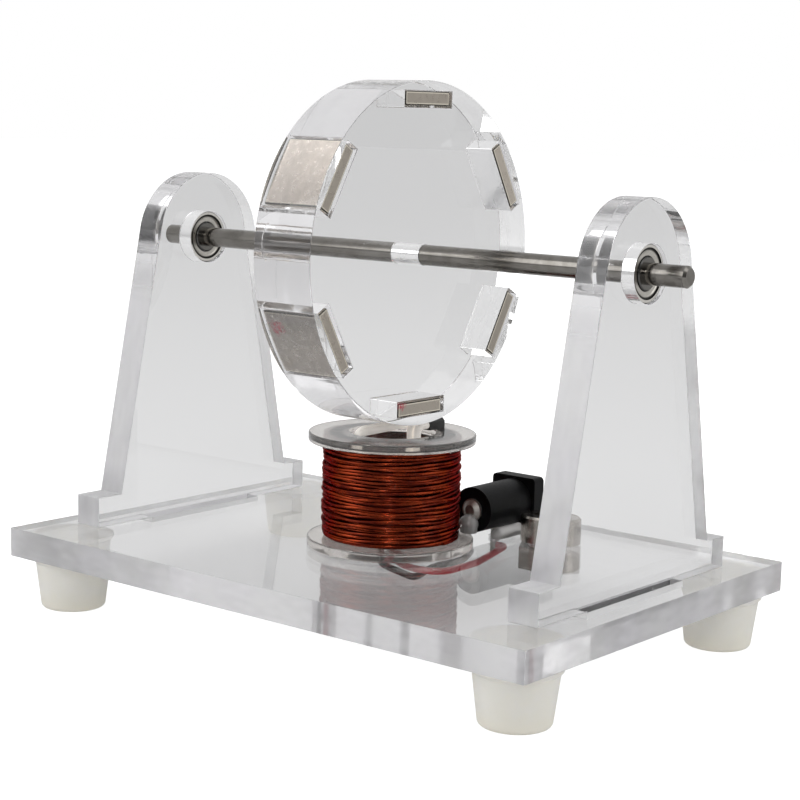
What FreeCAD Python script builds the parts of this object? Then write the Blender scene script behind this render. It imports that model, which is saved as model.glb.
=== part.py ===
import FreeCAD, Part
import math
import os
import Sketcher
from FreeCAD import Placement, Rotation, Vector

# Demonstration motor: a disc with six magnets at its rim spins on a steel shaft
# above one solenoid, between two clear uprights on a clear base plate.
# X runs along the shaft, Z is up, and the feet stand on Z = 0 about the origin.
# The driving sizes are in the sheet; every piece is bound to them.

doc = FreeCAD.newDocument("DemonstrationMotor")
sheet = doc.addObject("Spreadsheet::Sheet", "Sizes")

sizes = [
    # base plate and feet
    ("baseLength", 96.0, "base plate, along the shaft"),
    ("baseWidth", 65.0, "base plate, across the shaft"),
    ("baseThick", 4.4, "base plate thickness"),
    ("footHeight", 7.9, "rubber foot, floor to base plate"),
    ("footInsetX", 6.2, "foot axis from the end of the plate"),
    ("footInsetY", 7.1, "foot axis from the side of the plate"),
    ("footTopRadius", 5.7, "foot just under its lip"),
    ("footTaper", 0.9, "foot narrower near the floor, on the radius"),
    ("footLip", 0.4, "lip beyond the top of a foot"),
    ("footLipHeight", 0.9, "height of that lip"),
    ("footEdgeRadius", 0.7, "rounding round the sole"),
    # uprights
    ("uprightThick", 4.8, "upright plate thickness"),
    ("uprightInset", 4.7, "outer face of an upright from the end of the base"),
    ("shoulderWidth", 46.5, "foot bar of an upright, across the shaft"),
    ("shoulderHeight", 4.6, "height of that bar above the base"),
    ("taperWidth", 37.1, "upright where it leaves the bar"),
    ("archRadius", 10.7, "round top of an upright"),
    ("archDrop", 0.6, "centre of the round top below the shaft axis"),
    ("tenonLength", 24.0, "tenon through the base, across the shaft"),
    ("slotGap", 0.05, "clearance round a tenon in its slot"),
    # ball bearings, 3 x 8 x 4
    ("bearingOuterRadius", 4.0, "outside of the outer ring"),
    ("bearingWidth", 4.0, "width of both rings"),
    ("ringEdge", 0.15, "bevel on the rings' corners"),
    ("ballRadius", 0.75, "ball"),
    ("ballCount", 7, "balls in a bearing"),
    ("raceGap", 0.03, "clearance between a ball and its raceway"),
    ("landHeight", 0.33, "lands of both rings above the bottom of the raceway"),
    ("shieldSeat", 0.3, "recess in the outer ring that holds a shield"),
    ("shieldBoreGap", 0.12, "shield clear of the inner ring"),
    ("shieldThick", 0.2, "shield sheet"),
    ("shieldDish", 0.12, "middle of a shield set in from its rim"),
    ("shieldRecess", 0.15, "shield below the face of the ring"),
    ("cageThick", 0.34, "cage wall, radially"),
    ("cageRail", 0.2, "cage beside a ball"),
    ("cageGap", 0.05, "clearance round a ball in the cage"),
    # shaft
    ("shaftRadius", 1.5, "ground steel shaft"),
    ("shaftOverhang", 6.0, "shaft beyond the outer face of an upright"),
    ("shaftBevel", 0.35, "bevel at both ends of the shaft"),
    # rotor disc and magnets
    ("rotorRadius", 24.9, "acrylic disc"),
    ("rotorThick", 10.5, "disc, along the shaft"),
    ("rotorGap", 1.6, "disc above the bobbin"),
    ("magnetCount", 6, "magnets round the disc"),
    ("magnetStart", 30.0, "first magnet above the horizontal, in degrees"),
    ("pocketWall", 1.5, "disc outside the middle of a pocket"),
    ("pocketPlay", 0.4, "pocket beyond a magnet, at each end and towards the shaft"),
    ("magnetLength", 10.0, "magnet, along the shaft and round the disc"),
    ("magnetThick", 2.0, "magnet, towards the shaft"),
    ("magnetEdge", 0.2, "rounded edges of the plated magnet"),
    ("magnetGap", 0.05, "glue between magnet and outer pocket wall"),
    # coil
    ("bobbinHeight", 17.1, "bobbin over both flanges"),
    ("flangeThick", 1.4, "bobbin flange"),
    ("flangeEdge", 0.25, "rounded rim of a flange"),
    ("boreRadius", 6.45, "open bore of the bobbin"),
    ("coreWall", 1.0, "bobbin wall inside the winding"),
    ("windingDepth", 2.98, "winding, radially"),
    ("flangeLip", 2.02, "flange beyond the winding"),
    ("coilWireRadius", 0.28, "enamelled copper wire"),
    ("coilHoleGap", 0.12, "clearance round a coil end in the bobbin core"),
    ("coilEndSpacing", 2.0, "between the two coil ends"),
    ("coilEndRise", 1.0, "coil ends above the lower flange"),
    # Hall sensor, a flat four-lead package, and its sleeved leads
    ("sensorWidth", 5.2, "sensor across its leads"),
    ("sensorLength", 3.5, "sensor along its leads"),
    ("sensorThick", 1.55, "sensor package"),
    ("sensorBevel", 0.4, "bevelled long edges of the package"),
    ("sensorX", 0.7, "middle of the sensor, along the shaft"),
    ("sensorY", 4.8, "lead side of the sensor behind the coil axis"),
    ("leadPitch", 1.27, "between the sensor's leads"),
    ("legRise", 0.75, "lead axis above the flange"),
    ("sleeveGap", 0.15, "between the sleeves on neighbouring leads"),
    # socket
    ("socketX", 7.2, "socket axis, along the base"),
    ("socketGap", 0.1, "rear of the barrel clear of the bobbin's flange"),
    ("barrelRadius", 3.45, "round barrel of the socket"),
    ("barrelLength", 10.4, "barrel, rear face to flange"),
    ("mouthWidth", 8.0, "flange of the socket"),
    ("mouthHeight", 8.6, "flange, standing on the base"),
    ("barrelRise", 0.45, "barrel's axis above the middle of the flange"),
    ("mouthThick", 2.4, "flange, along the socket"),
    ("mouthCorner", 0.7, "rounded corners of the flange"),
    ("plugRadius", 1.9, "hole that takes the plug"),
    ("rearWall", 1.6, "housing behind the hole"),
    ("pinRadius", 0.65, "centre pin"),
    ("pinSetBack", 1.0, "pin tip below the mouth"),
    ("rivetRadius", 1.55, "riveted rear end of the pin"),
    ("rivetHeight", 0.5, "the same, along the socket"),
    ("rivetGap", 0.05, "between the rivet and the bend of the lug"),
    ("lugRadius", 1.75, "lug under the rivet"),
    ("lugThick", 0.3, "lug sheet"),
    ("lugWidth", 1.0, "tail of the lug"),
    ("lugStep", 0.75, "tail set back from the rear face"),
    ("springThick", 0.25, "spring contact sheet"),
    ("springWidth", 1.2, "spring contact"),
    ("springInset", 0.4, "spring contact in from the wall of the hole"),
    ("springBow", 0.35, "bow of the spring contact towards the pin"),
    ("springTip", 1.6, "end of the spring contact behind the mouth"),
    ("springStart", 5.6, "tail of the spring contact ahead of the rear face"),
    ("springDrop", 1.8, "tail of the spring contact below the plate"),
    ("tailHoleRadius", 0.85, "hole in the base for that tail"),
    ("lugTailGap", 0.2, "end of the lug's tail above the bobbin's flange"),
    ("glueRadius", 1.5, "drop of glue over the soldered lug"),
    ("glueHeight", 2.8, "drop of glue, top to bottom"),
    ("beadRadius", 1.1, "bead of glue along the foot of the barrel"),
    ("beadLength", 7.6, "the same bead"),
    ("beadStart", 2.9, "the same bead ahead of the rear face"),
    ("beadRise", 0.55, "middle of the bead above the base"),
    ("beadGap", 0.15, "bead clear of the spring contact's tail"),
    # screw and nut beside the socket
    ("screwSpacing", 7.45, "screw axis from the socket's axis"),
    ("screwAhead", 8.2, "screw axis ahead of the socket's rear face"),
    ("screwRadius", 2.0, "screw shank"),
    ("screwLength", 8.0, "screw below its head"),
    ("headRadius", 3.5, "cap head"),
    ("headHeight", 4.0, "cap head"),
    ("headBevel", 0.3, "bevel on the head"),
    ("socketFlats", 3.0, "hexagon in the head, across flats"),
    ("socketDepth", 2.0, "depth of the hexagon"),
    ("nutFlats", 7.0, "nut across flats"),
    ("nutHeight", 3.2, "nut"),
    ("screwGap", 0.15, "clearance round the screw in the base"),
    # leads under the plate
    ("leadRadius", 0.5, "insulated lead"),
    ("leadHoleRadius", 2.0, "hole in the base under the coil, for both leads"),
    ("riseX", 2.2, "hole in the base for the lead to the lug, along the base"),
    ("riseGap", 0.78, "axis of that hole beyond the bobbin's flange"),
    ("riseHoleGap", 0.3, "clearance round the lead in that hole"),
    ("leadGap", 0.1, "leads below the plate"),
    ("leadCross", 1.35, "dip of the black lead where it crosses under the red one"),
    ("leadBend", 2.2, "bends of a lead above the plate"),
    ("holeBend", 0.8, "bends where a lead leaves a hole"),
    ("flangeBend", 1.2, "bend of the black lead over the bobbin's flange"),
    ("flangeLeadGap", 0.2, "black lead above the bobbin's flange"),
    ("leadLoopBend", 7.0, "widest bends of a lead under the plate"),
    ("sleeveDrop", 6.0, "sleeves inside the bore, below the flange"),
    ("sleeveBend", 1.6, "bends of the sleeved leads"),
    ("coilLeadBend", 1.2, "bends of the coil ends"),
]

for row, (alias, amount, meaning) in enumerate(sizes, start=1):
    sheet.set(f"A{row}", meaning)
    sheet.set(f"B{row}", str(amount))
    sheet.setAlias(f"B{row}", alias)
doc.recompute()

# places worked out from the sheet, as expression texts
plateUnder = "Sizes.footHeight"
plateTop = "(Sizes.footHeight + Sizes.baseThick)"
axisRise = "(Sizes.bobbinHeight + Sizes.rotorGap + Sizes.rotorRadius)"
axisHeight = f"(Sizes.footHeight + Sizes.baseThick + {axisRise})"
outerFace = "(Sizes.baseLength / 2 - Sizes.uprightInset)"
uprightMiddle = "(Sizes.baseLength / 2 - Sizes.uprightInset - Sizes.uprightThick / 2)"
shaftLength = "(Sizes.baseLength - 2 * Sizes.uprightInset + 2 * Sizes.shaftOverhang)"
pitchRadius = "((Sizes.shaftRadius + Sizes.bearingOuterRadius) / 2)"
raceRadius = "(Sizes.ballRadius + Sizes.raceGap)"
innerLand = f"({pitchRadius} - {raceRadius} + Sizes.landHeight)"
outerLand = f"({pitchRadius} + {raceRadius} - Sizes.landHeight)"
shieldSeat = f"({outerLand} + Sizes.shieldSeat)"
coreRadius = "(Sizes.boreRadius + Sizes.coreWall)"
windingRadius = "(Sizes.boreRadius + Sizes.coreWall + Sizes.windingDepth)"
flangeRadius = f"({windingRadius} + Sizes.flangeLip)"
sleeveRadius = "((Sizes.leadPitch - Sizes.sleeveGap) / 2)"
flangeTop = "(Sizes.footHeight + Sizes.baseThick + Sizes.bobbinHeight)"
socketRise = "(Sizes.mouthHeight / 2 + Sizes.barrelRise)"
socketHeight = f"(Sizes.footHeight + Sizes.baseThick + {socketRise})"
socketLength = "(Sizes.barrelLength + Sizes.mouthThick)"
# the barrel is this wide, on each side, where it is as low as the bobbin's flange
dipHalf = f"sqrt(max(0; Sizes.barrelRadius^2 - ({socketRise} - Sizes.flangeThick)^2))"
socketRear = f"(sqrt({flangeRadius}^2 - (Sizes.socketX - {dipHalf})^2) + Sizes.socketGap)"
lugTailY = f"({socketRear} - Sizes.lugStep - Sizes.lugThick / 2)"
springTailY = f"({socketRear} + Sizes.springStart + Sizes.springThick / 2)"
screwX = "(Sizes.socketX + Sizes.screwSpacing)"
screwY = f"({socketRear} + Sizes.screwAhead)"
riseY = f"sqrt(({flangeRadius} + Sizes.riseGap)^2 - Sizes.riseX^2)"
lowerCoilEnd = "(Sizes.footHeight + Sizes.baseThick + Sizes.flangeThick + Sizes.coilEndRise)"

zUpToX = Rotation(Vector(0, 1, 0), 90)
zUpToY = Rotation(Vector(1, 0, 0), -90)


# ---------------------------------------------------------------- drawing aids

def number(text):
    """The value that an expression on the sheet gives."""
    result = sheet.evalExpression(text)
    return float(getattr(result, "Value", result))


def newBody(label):
    body = doc.addObject("PartDesign::Body", label)
    body.Label = label
    return body


def originItem(body, role):
    return next(item for item in body.Origin.OriginFeatures if item.Role == role)


def sketchOn(body, role, lift=None):
    """A sketch on one of the body's own planes, lifted along its normal."""
    sketch = body.newObject("Sketcher::SketchObject", body.Label + "_sketch")
    sketch.AttachmentSupport = [(originItem(body, role), "")]
    sketch.MapMode = "FlatFace"
    if lift:
        sketch.setExpression("AttachmentOffset.Base.z", lift)
    return sketch


def bind(sketch, kind, entries, text):
    """Adds a dimension and ties it to an expression."""
    row = sketch.addConstraint(Sketcher.Constraint(kind, *entries, number(text)))
    sketch.setExpression(f"Constraints[{row}]", text)


def pin(sketch, edge, end, x, y):
    """Ties one end of an edge to its place in the sketch."""
    for kind, axisLine, text in (("DistanceX", -2, x), ("DistanceY", -1, y)):
        if text == "0":
            sketch.addConstraint(Sketcher.Constraint("PointOnObject", edge, end, axisLine))
        else:
            bind(sketch, kind, (-1, 1, edge, end), text)


def arcBetween(start, finish, radius, leftTurn):
    """The shorter arc from start to finish, turning left or right."""
    chord = finish - start
    side = Vector(-chord.y, chord.x, 0).normalize() * (1 if leftTurn else -1)
    height = math.sqrt(max(radius ** 2 - chord.Length ** 2 / 4, 0))
    centre = (start + finish) * 0.5 + side * height
    first, last = (start, finish) if leftTurn else (finish, start)
    angles = [math.atan2(end.y - centre.y, end.x - centre.x) for end in (first, last)]
    return Part.ArcOfCircle(Part.Circle(centre, Vector(0, 0, 1), radius), *angles)


def outline(sketch, corners):
    """A closed outline. A corner is (x, y), or (x, y, radius, "left" or "right")
    when an arc of that radius and turn leads to it from the corner before."""
    places = [Vector(number(corner[0]), number(corner[1]), 0) for corner in corners]
    ends = []
    for index, corner in enumerate(corners):
        start, finish = places[index - 1], places[index]
        if len(corner) == 2:
            edge = sketch.addGeometry(Part.LineSegment(start, finish), False)
            ends.append((edge, 1, 2))
        else:
            leftTurn = corner[3] == "left"
            arc = arcBetween(start, finish, number(corner[2]), leftTurn)
            edge = sketch.addGeometry(arc, False)
            ends.append((edge, 1, 2) if leftTurn else (edge, 2, 1))
    for index, corner in enumerate(corners):
        edge, startEnd, finishEnd = ends[index]
        nextEdge, nextStart, _ = ends[(index + 1) % len(ends)]
        sketch.addConstraint(Sketcher.Constraint("Coincident", edge, finishEnd, nextEdge, nextStart))
        pin(sketch, edge, finishEnd, corner[0], corner[1])
        if len(corner) == 4:
            bind(sketch, "Radius", (edge,), corner[2])


def circle(sketch, radius, x="0", y="0"):
    centre = Vector(number(x), number(y), 0)
    edge = sketch.addGeometry(Part.Circle(centre, Vector(0, 0, 1), number(radius)), False)
    pin(sketch, edge, 3, x, y)
    bind(sketch, "Radius", (edge,), radius)


def rectangle(sketch, width, depth, x="0", y="0"):
    """A rectangle centred on (x, y)."""
    right = f"{x} + {width} / 2"
    left = f"{x} - {width} / 2"
    far = f"{y} + {depth} / 2"
    near = f"{y} - {depth} / 2"
    outline(sketch, [(left, near), (right, near), (right, far), (left, far)])


def hexagon(sketch, flats, x="0", y="0"):
    corner = f"{flats} / sqrt(3)"
    half = f"{flats} / sqrt(12)"
    outline(sketch, [
        (f"{x} + {corner}", y), (f"{x} + {half}", f"{y} + {flats} / 2"),
        (f"{x} - {half}", f"{y} + {flats} / 2"), (f"{x} - {corner}", y),
        (f"{x} - {half}", f"{y} - {flats} / 2"), (f"{x} + {half}", f"{y} - {flats} / 2"),
    ])


def pad(body, sketch, length, bothWays=False, backwards=False):
    feature = body.newObject("PartDesign::Pad", body.Label + "_pad")
    feature.Profile = sketch
    feature.setExpression("Length", length)
    feature.Reversed = backwards
    if bothWays:
        feature.SideType = "Symmetric"
    return feature


def cut(body, sketch, length=None, backwards=False):
    """A pocket of a given length, or right through both ways."""
    doc.recompute()
    before = body.Shape.Volume
    feature = body.newObject("PartDesign::Pocket", body.Label + "_cut")
    feature.Profile = sketch
    feature.Reversed = backwards
    if length:
        feature.setExpression("Length", length)
    else:
        feature.SideType = "Symmetric"
        feature.Type = "ThroughAll"
    doc.recompute()
    if not body.Shape.Volume < before:
        raise ValueError(f"{body.Label}: a cut took nothing away")
    return feature


def turned(label, corners):
    """A body turned about its own Z axis from an outline of (radius, height)."""
    body = newBody(label)
    sketch = sketchOn(body, "XZ_Plane")
    outline(sketch, corners)
    feature = body.newObject("PartDesign::Revolution", label + "_turned")
    feature.Profile = sketch
    feature.ReferenceAxis = (sketch, ["V_Axis"])
    feature.Angle = 360
    return body


def place(item, x="0", y="0", z="0", turn=Rotation()):
    item.Placement = Placement(Vector(number(x), number(y), number(z)), turn)
    for letter, text in zip("xyz", (x, y, z)):
        if text != "0":
            item.setExpression("Placement.Base." + letter, text)
    return item


def roundedRoute(label, points, bends):
    """Straight runs joined by tangent arcs, each as large as its bend and runs allow."""
    edges = []
    start = points[0]
    radii = []
    for before, corner, after in zip(points, points[1:], points[2:]):
        back = (before - corner).normalize()
        ahead = (after - corner).normalize()
        halfTurn = (math.pi - back.getAngle(ahead)) / 2
        shorter = min(before.distanceToPoint(corner), after.distanceToPoint(corner))
        radius = min(bends[len(radii)], 0.45 * shorter / math.tan(halfTurn))
        radii.append(radius)
        setBack = radius * math.tan(halfTurn)
        inward = (back + ahead).normalize()
        middle = corner + inward * (radius / math.cos(halfTurn) - radius)
        arcStart = corner + back * setBack
        arcEnd = corner + ahead * setBack
        edges.append(Part.LineSegment(start, arcStart).toShape())
        edges.append(Part.Arc(arcStart, middle, arcEnd).toShape())
        start = arcEnd
    edges.append(Part.LineSegment(start, points[-1]).toShape())
    print(label, "bend radii", [round(radius, 2) for radius in radii])
    return Part.Wire(edges)


def wireSolid(label, points, radius, bends):
    """A round wire along a rounded route, with one bend radius or one per corner."""
    if not isinstance(bends, list):
        bends = [bends] * (len(points) - 2)
    path = roundedRoute(label, points, bends)
    section = Part.Wire(Part.makeCircle(radius, points[0], points[1] - points[0]))
    solid = Part.Solid(path.makePipeShell([section], True, False))
    if solid.Volume < 0:
        solid.reverse()
    expected = math.pi * radius ** 2 * path.Length
    if abs(solid.Volume - expected) > 0.01 * expected:
        raise ValueError(f"{label}: swept {solid.Volume:.3f}, expected {expected:.3f}")
    return solid


def shapePiece(label, shape):
    """A piece whose shape is made in code, as a swept wire."""
    piece = doc.addObject("Part::Feature", label)
    piece.Label = label
    piece.Shape = shape
    return piece


# ------------------------------------------------------------------ base plate

def basePlate():
    body = newBody("base_plate")
    plateOutline = sketchOn(body, "XY_Plane")
    rectangle(plateOutline, "Sizes.baseLength", "Sizes.baseWidth")
    pad(body, plateOutline, "Sizes.baseThick")
    slots = sketchOn(body, "XY_Plane")
    slotWidth = "(Sizes.uprightThick + 2 * Sizes.slotGap)"
    slotLength = "(Sizes.tenonLength + 2 * Sizes.slotGap)"
    rectangle(slots, slotWidth, slotLength, x=uprightMiddle)
    rectangle(slots, slotWidth, slotLength, x="-" + uprightMiddle)
    cut(body, slots)
    holes = sketchOn(body, "XY_Plane")
    circle(holes, "Sizes.leadHoleRadius")
    circle(holes, "Sizes.leadRadius + Sizes.riseHoleGap", x="Sizes.riseX", y=riseY)
    circle(holes, "Sizes.tailHoleRadius", x="Sizes.socketX", y=springTailY)
    circle(holes, "Sizes.screwRadius + Sizes.screwGap", x=screwX, y=screwY)
    cut(body, holes)
    return place(body, z=plateUnder)


def foot(label, sideX, sideY):
    """A tapered rubber foot with a lip at the top and a rounded sole."""
    bottom = "(Sizes.footTopRadius - Sizes.footTaper)"
    slope = "Sizes.footTaper / (Sizes.footHeight - Sizes.footLipHeight)"
    edgeTop = f"{bottom} + {slope} * Sizes.footEdgeRadius"
    lipStart = "Sizes.footHeight - Sizes.footLipHeight"
    body = turned(label, [
        ("0", "0"),
        (f"{bottom} - Sizes.footEdgeRadius", "0"),
        (edgeTop, "Sizes.footEdgeRadius", "Sizes.footEdgeRadius * 1.02", "left"),
        ("Sizes.footTopRadius", lipStart),
        ("Sizes.footTopRadius + Sizes.footLip", f"{lipStart} + 0.4 * Sizes.footLipHeight"),
        ("Sizes.footTopRadius + Sizes.footLip", "Sizes.footHeight"),
        ("0", "Sizes.footHeight"),
    ])
    return place(body, x=f"{sideX} * (Sizes.baseLength / 2 - Sizes.footInsetX)",
                 y=f"{sideY} * (Sizes.baseWidth / 2 - Sizes.footInsetY)")


# -------------------------------------------------------------------- uprights

def upright(label, innerX):
    """A tapered plate with a tenon, a foot bar and a round top, drawn in YZ."""
    body = newBody(label)
    sketch = sketchOn(body, "YZ_Plane")
    barTop = f"{plateTop} + Sizes.shoulderHeight"
    sides = [
        ("-Sizes.taperWidth / 2", barTop),
        ("-Sizes.shoulderWidth / 2", barTop),
        ("-Sizes.shoulderWidth / 2", plateTop),
        ("-Sizes.tenonLength / 2", plateTop),
        ("-Sizes.tenonLength / 2", plateUnder),
        ("Sizes.tenonLength / 2", plateUnder),
        ("Sizes.tenonLength / 2", plateTop),
        ("Sizes.shoulderWidth / 2", plateTop),
        ("Sizes.shoulderWidth / 2", barTop),
        ("Sizes.taperWidth / 2", barTop),
    ]
    places = [Vector(number(x), number(y), 0) for x, y in sides]
    centre = Vector(0, number(f"{axisHeight} - Sizes.archDrop"), 0)
    radius = number("Sizes.archRadius")
    reach = places[-1] - centre
    lean = math.atan2(reach.y, reach.x) + math.acos(radius / reach.Length)
    touch = centre + Vector(math.cos(lean), math.sin(lean), 0) * radius
    mirrored = Vector(-touch.x, touch.y, 0)
    lines = [sketch.addGeometry(Part.LineSegment(start, finish), False)
             for start, finish in zip(places, places[1:])]
    rightSide = sketch.addGeometry(Part.LineSegment(places[-1], touch), False)
    roundTop = sketch.addGeometry(arcBetween(touch, mirrored, radius, True), False)
    leftSide = sketch.addGeometry(Part.LineSegment(mirrored, places[0]), False)
    for line, after in zip(lines, lines[1:] + [rightSide]):
        sketch.addConstraint(Sketcher.Constraint("Coincident", line, 2, after, 1))
    sketch.addConstraint(Sketcher.Constraint("Coincident", leftSide, 2, lines[0], 1))
    sketch.addConstraint(Sketcher.Constraint("Tangent", rightSide, 2, roundTop, 1))
    sketch.addConstraint(Sketcher.Constraint("Tangent", roundTop, 2, leftSide, 1))
    for line, (x, y) in zip(lines, sides):
        pin(sketch, line, 1, x, y)
    pin(sketch, rightSide, 1, *sides[-1])
    pin(sketch, roundTop, 3, "0", f"{axisHeight} - Sizes.archDrop")
    bind(sketch, "Radius", (roundTop,), "Sizes.archRadius")
    pad(body, sketch, "Sizes.uprightThick")
    seat = sketchOn(body, "YZ_Plane")
    circle(seat, "Sizes.bearingOuterRadius", y=axisHeight)
    cut(body, seat)
    return place(body, x=innerX)


# -------------------------------------------------------------------- bearings

def bearing(side, middleX):
    """A shielded ball bearing about X, centred in its upright."""
    # half the width of a raceway where it meets its lands
    dip = f"sqrt({raceRadius}^2 - ({raceRadius} - Sizes.landHeight)^2)"
    half = "Sizes.bearingWidth / 2"
    seatStep = f"({half} - Sizes.shieldRecess - Sizes.shieldThick)"
    shieldFace = f"({half} - Sizes.shieldRecess)"
    outer, edge = "Sizes.bearingOuterRadius", "Sizes.ringEdge"
    pieces = []
    pieces.append(turned(side + "_bearing_outer_ring", [
        (f"{outer} - {edge}", f"-{half}"),
        (outer, f"-{half} + {edge}"),
        (outer, f"{half} - {edge}"),
        (f"{outer} - {edge}", half),
        (shieldSeat, half),
        (shieldSeat, seatStep),
        (outerLand, seatStep),
        (outerLand, dip),
        (outerLand, f"-{dip}", raceRadius, "right"),
        (outerLand, f"-{seatStep}"),
        (shieldSeat, f"-{seatStep}"),
        (shieldSeat, f"-{half}"),
    ]))
    pieces.append(turned(side + "_bearing_inner_ring", [
        ("Sizes.shaftRadius", f"-{half}"),
        (f"{innerLand} - {edge}", f"-{half}"),
        (innerLand, f"-{half} + {edge}"),
        (innerLand, f"-{dip}"),
        (innerLand, dip, raceRadius, "right"),
        (innerLand, f"{half} - {edge}"),
        (f"{innerLand} - {edge}", half),
        ("Sizes.shaftRadius", half),
    ]))
    # a shield is a dished washer: its rim sits in the outer ring's recess
    for name, sign in (("outer_shield", "1"), ("inner_shield", "-1")):
        sign = sign if side == "right" else "-" + sign
        bore = f"({innerLand} + Sizes.shieldBoreGap)"
        face = f"{sign} * {shieldFace}"
        back = f"{sign} * {seatStep}"
        dishedFace = f"{face} - {sign} * Sizes.shieldDish"
        dishedBack = f"{back} - {sign} * Sizes.shieldDish"
        corners = [
            (bore, dishedFace),
            (f"{outerLand} - 2 * Sizes.shieldDish", dishedFace),
            (f"{outerLand} - 0.5 * Sizes.shieldDish", face),
            (shieldSeat, face),
            (shieldSeat, back),
            (outerLand, back),
            (f"{outerLand} - 1.5 * Sizes.shieldDish", dishedBack),
            (bore, dishedBack),
        ]
        pieces.append(turned(f"{side}_bearing_{name}", corners))
    cageHalf = "(Sizes.ballRadius + Sizes.cageGap + Sizes.cageRail)"
    cageInner = f"{pitchRadius} - Sizes.cageThick / 2"
    cageOuter = f"{pitchRadius} + Sizes.cageThick / 2"
    cage = turned(side + "_bearing_cage", [
        (cageInner, f"-{cageHalf}"), (cageOuter, f"-{cageHalf}"),
        (cageOuter, cageHalf), (cageInner, cageHalf),
    ])
    window = sketchOn(cage, "YZ_Plane")
    circle(window, "Sizes.ballRadius + Sizes.cageGap")
    hole = cut(cage, window, length="Sizes.bearingOuterRadius", backwards=True)
    ring = cage.newObject("PartDesign::PolarPattern", cage.Label + "_windows")
    ring.Originals = [hole]
    ring.Axis = (originItem(cage, "Z_Axis"), [""])
    ring.Angle = 360
    ring.setExpression("Occurrences", "Sizes.ballCount")
    cage.Tip = ring
    pieces.append(cage)
    for piece in pieces:
        place(piece, x=middleX, z=axisHeight, turn=zUpToX)
    balls = []
    for index in range(int(number("Sizes.ballCount"))):
        ball = doc.addObject("Part::Sphere", f"{side}_ball")
        ball.setExpression("Radius", "Sizes.ballRadius")
        angle = f"({index} * 360deg / Sizes.ballCount)"
        place(ball, x=middleX, y=f"{pitchRadius} * sin({angle})",
              z=f"{axisHeight} - {pitchRadius} * cos({angle})")
        balls.append(ball)
    group = doc.addObject("Part::Compound", side + "_bearing_balls")
    group.Label = side + "_bearing_balls"
    group.Links = balls
    return pieces + [group]


# ------------------------------------------------------ shaft, disc and magnets

def shaft():
    """Ground rod with bevelled ends."""
    half = f"({shaftLength} / 2)"
    bevel = "Sizes.shaftBevel"
    body = turned("shaft", [
        ("0", f"-{half}"),
        (f"Sizes.shaftRadius - {bevel}", f"-{half}"),
        ("Sizes.shaftRadius", f"-{half} + {bevel}"),
        ("Sizes.shaftRadius", f"{half} - {bevel}"),
        (f"Sizes.shaftRadius - {bevel}", half),
        ("0", half),
    ])
    return place(body, z=axisHeight, turn=zUpToX)


def rotorDisc():
    """Thick disc pressed on the shaft, with a slot for each magnet at its rim."""
    body = newBody("rotor_disc")
    face = sketchOn(body, "XY_Plane")
    circle(face, "Sizes.rotorRadius")
    circle(face, "Sizes.shaftRadius")
    pad(body, face, "Sizes.rotorThick", bothWays=True)
    slot = sketchOn(body, "XY_Plane")
    slotDepth = "(Sizes.magnetThick + Sizes.pocketPlay)"
    slotMiddle = f"(Sizes.rotorRadius - Sizes.pocketWall - {slotDepth} / 2)"
    rectangle(slot, slotDepth, "(Sizes.magnetLength + 2 * Sizes.pocketPlay)", x=slotMiddle)
    pocket = cut(body, slot)
    slots = body.newObject("PartDesign::PolarPattern", "rotor_disc_slots")
    slots.Originals = [pocket]
    slots.Axis = (originItem(body, "Z_Axis"), [""])
    slots.Angle = 360
    slots.setExpression("Occurrences", "Sizes.magnetCount")
    body.Tip = slots
    # the first slot lies at magnetStart above the horizontal
    turn = Rotation(Vector(1, 0, 0), number("Sizes.magnetStart") + 90).multiply(zUpToX)
    return place(body, z=axisHeight, turn=turn)


def magnet(index):
    """A plated block against the outer wall of its slot."""
    body = newBody(f"magnet_{index + 1}")
    face = sketchOn(body, "XY_Plane")
    rectangle(face, "Sizes.magnetLength", "Sizes.magnetLength")
    block = pad(body, face, "Sizes.magnetThick")
    doc.recompute()
    edges = body.newObject("PartDesign::Fillet", f"magnet_{index + 1}_edges")
    edges.Base = (block, ["Edge1"])
    edges.UseAllEdges = True
    edges.setExpression("Radius", "Sizes.magnetEdge")
    body.Tip = edges
    inner = ("(Sizes.rotorRadius - Sizes.pocketWall - Sizes.magnetGap"
             " - Sizes.magnetThick)")
    angle = f"((Sizes.magnetStart + {index} * 360 / Sizes.magnetCount) * 1deg)"
    degrees = number("Sizes.magnetStart") + index * 360 / number("Sizes.magnetCount")
    return place(body, y=f"{inner} * cos({angle})", z=f"{axisHeight} + {inner} * sin({angle})",
                 turn=Rotation(Vector(1, 0, 0), degrees - 90))


# ------------------------------------------------------------------------ coil

def bobbin():
    """Two flanges on a hollow core, with rounded rims and two wire holes."""
    rim = "Sizes.flangeEdge"
    upper = "Sizes.bobbinHeight - Sizes.flangeThick"
    body = turned("coil_bobbin", [
        ("Sizes.boreRadius", "0"),
        (f"{flangeRadius} - {rim}", "0"),
        (flangeRadius, rim, rim, "left"),
        (flangeRadius, f"Sizes.flangeThick - {rim}"),
        (f"{flangeRadius} - {rim}", "Sizes.flangeThick", rim, "left"),
        (coreRadius, "Sizes.flangeThick"),
        (coreRadius, upper),
        (f"{flangeRadius} - {rim}", upper),
        (flangeRadius, f"{upper} + {rim}", rim, "left"),
        (flangeRadius, f"Sizes.bobbinHeight - {rim}"),
        (f"{flangeRadius} - {rim}", "Sizes.bobbinHeight", rim, "left"),
        ("Sizes.boreRadius", "Sizes.bobbinHeight"),
    ])
    holes = sketchOn(body, "XZ_Plane")
    for sign in ("", "-"):
        circle(holes, "Sizes.coilWireRadius + Sizes.coilHoleGap",
               x=sign + "Sizes.coilEndSpacing / 2",
               y="Sizes.flangeThick + Sizes.coilEndRise")
    cut(body, holes, length=flangeRadius)
    return place(body, z=plateTop)


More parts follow.
